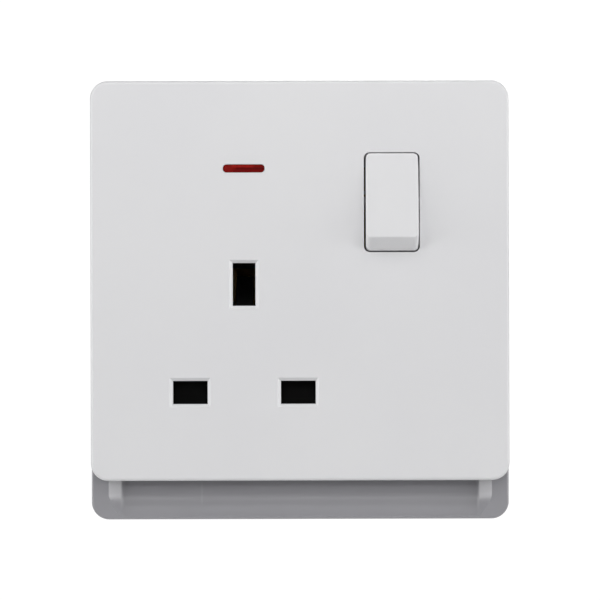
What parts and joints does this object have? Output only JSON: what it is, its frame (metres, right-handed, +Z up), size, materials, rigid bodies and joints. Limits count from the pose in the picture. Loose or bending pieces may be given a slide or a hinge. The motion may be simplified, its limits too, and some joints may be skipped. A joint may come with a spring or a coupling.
{
  "type": "switched socket",
  "caption": "Square wall socket for flat three-pin plugs, with a push-on white cover on a grey frame, a rocker switch, a neon lens and shuttered pin apertures.",
  "frame": {"origin": "middle of the plate on the wall's surface, midway between the two fixing slots", "axes": "+X to the right and +Z up as seen from the front, +Y into the wall"},
  "size_m": [0.086, 0.0317, 0.0902],
  "materials": {
    "white_plastic": "satin moulded, fine sheen",
    "grey_plastic": "satin moulded mid grey",
    "housing_plastic": "moulded off-white",
    "black_plastic": "moulded black",
    "red_lens": "clear dark red, unlit",
    "lamp_glass": "clear glass",
    "resistor_body": "coated body",
    "lead_sleeve": "sleeved wire",
    "steel": "zinc plated",
    "plunger_plastic": "natural nylon",
    "silver_alloy": "contact alloy",
    "brass": "rolled brass"
  },
  "bodies": {
    "frame": {"mounting_frame": "grey_plastic", "rear_housing": "housing_plastic", "housing_screws": "steel", "neon_lens": "red_lens", "neon_lamp": "lamp_glass", "neon_resistor": "resistor_body", "neon_lead_neutral": "lead_sleeve", "neon_lead_link": "lead_sleeve", "neon_lead_live": "lead_sleeve", "neutral_strip": "brass", "earth_strip": "brass", "live_strip": "brass", "switch_bridge": "brass", "neutral_clip": "brass", "earth_clip": "brass", "live_clip": "brass", "clip_rivets": "brass", "neutral_terminal": "brass", "earth_terminal": "brass", "live_terminal": "brass", "terminal_screws": "steel", "contact_pivot_pin": "steel", "fixed_tip": "silver_alloy", "shutter_spring": "steel"},
    "cover": {"front_cover": "white_plastic"},
    "rocker": {"rocker": "white_plastic", "rocker_plunger": "plunger_plastic", "rocker_spring": "steel"},
    "moving_contact": {"moving_contact": "brass", "moving_tip": "silver_alloy"},
    "shutter": {"shutter": "black_plastic"}
  },
  "joints": [
    {"name": "cover_pull", "type": "slide", "parent": "frame", "child": "cover", "axis": [0, -1, 0], "range_m": [0, 0.03]},
    {"name": "rocker_press", "type": "hinge", "parent": "frame", "child": "rocker", "pos_m": [0.01892, -0.0029, 0.0201], "axis": [1, 0, 0], "range_deg": [0, 22]},
    {"name": "contact_swing", "type": "hinge", "parent": "frame", "child": "moving_contact", "pos_m": [0.01892, 0.00616, 0.0201], "axis": [1, 0, 0], "range_deg": [-12, 0]},
    {"name": "shutter_slide", "type": "slide", "parent": "frame", "child": "shutter", "axis": [0, 0, -1], "range_m": [0, 0.0058], "stiffness_N_per_m": 120, "springref_m": -0.003, "deforming": ["shutter_spring"]}
  ],
  "couplings": [
    {"joint": "contact_swing", "follows": "rocker_press", "ratio": -0.5454}
  ]
}
